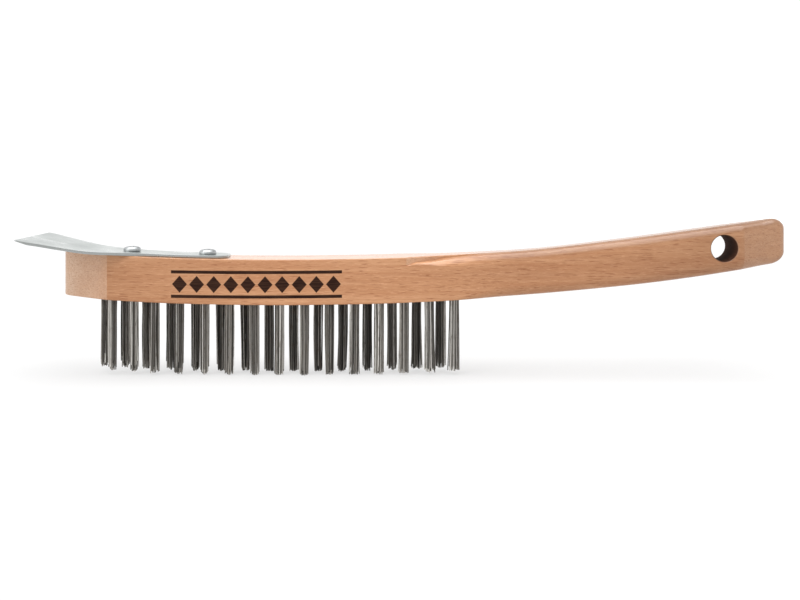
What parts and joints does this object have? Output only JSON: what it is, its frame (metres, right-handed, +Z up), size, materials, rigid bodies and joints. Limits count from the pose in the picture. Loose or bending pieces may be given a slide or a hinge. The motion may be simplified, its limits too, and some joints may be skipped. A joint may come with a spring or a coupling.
{
  "type": "wire brush",
  "caption": "Hand wire scratch brush with a curved wooden handle, two staggered rows of steel wire tufts, a screwed-on steel scraper blade and a hanging hole.",
  "frame": {"origin": "on the surface that the brush stands on, under the middle of its overall length and width", "axes": "+X along the brush from the scraper blade to the end of the handle, +Y across it, +Z up from the wire tips to the wooden block"},
  "size_m": [0.3506, 0.056, 0.0719],
  "materials": {
    "beech": "satin varnished beech",
    "scraper_steel": "bright rolled steel with a ground edge",
    "screw_zinc": "bright zinc plate",
    "brush_wire": "dull tempered steel wire"
  },
  "bodies": {
    "root": {"handle_block": "beech", "scraper_plate": "scraper_steel", "screw_front": "screw_zinc", "screw_rear": "screw_zinc", "tuft_near_01": "brush_wire", "tuft_near_02": "brush_wire", "tuft_near_03": "brush_wire", "tuft_near_04": "brush_wire", "tuft_near_05": "brush_wire", "tuft_near_06": "brush_wire", "tuft_near_07": "brush_wire", "tuft_near_08": "brush_wire", "tuft_near_09": "brush_wire", "tuft_near_10": "brush_wire", "tuft_near_11": "brush_wire", "tuft_near_12": "brush_wire", "tuft_near_13": "brush_wire", "tuft_near_14": "brush_wire", "tuft_near_15": "brush_wire", "tuft_far_01": "brush_wire", "tuft_far_02": "brush_wire", "tuft_far_03": "brush_wire", "tuft_far_04": "brush_wire", "tuft_far_05": "brush_wire", "tuft_far_06": "brush_wire", "tuft_far_07": "brush_wire", "tuft_far_08": "brush_wire", "tuft_far_09": "brush_wire", "tuft_far_10": "brush_wire", "tuft_far_11": "brush_wire", "tuft_far_12": "brush_wire", "tuft_far_13": "brush_wire", "tuft_far_14": "brush_wire", "tuft_far_15": "brush_wire"}
  },
  "joints": []
}
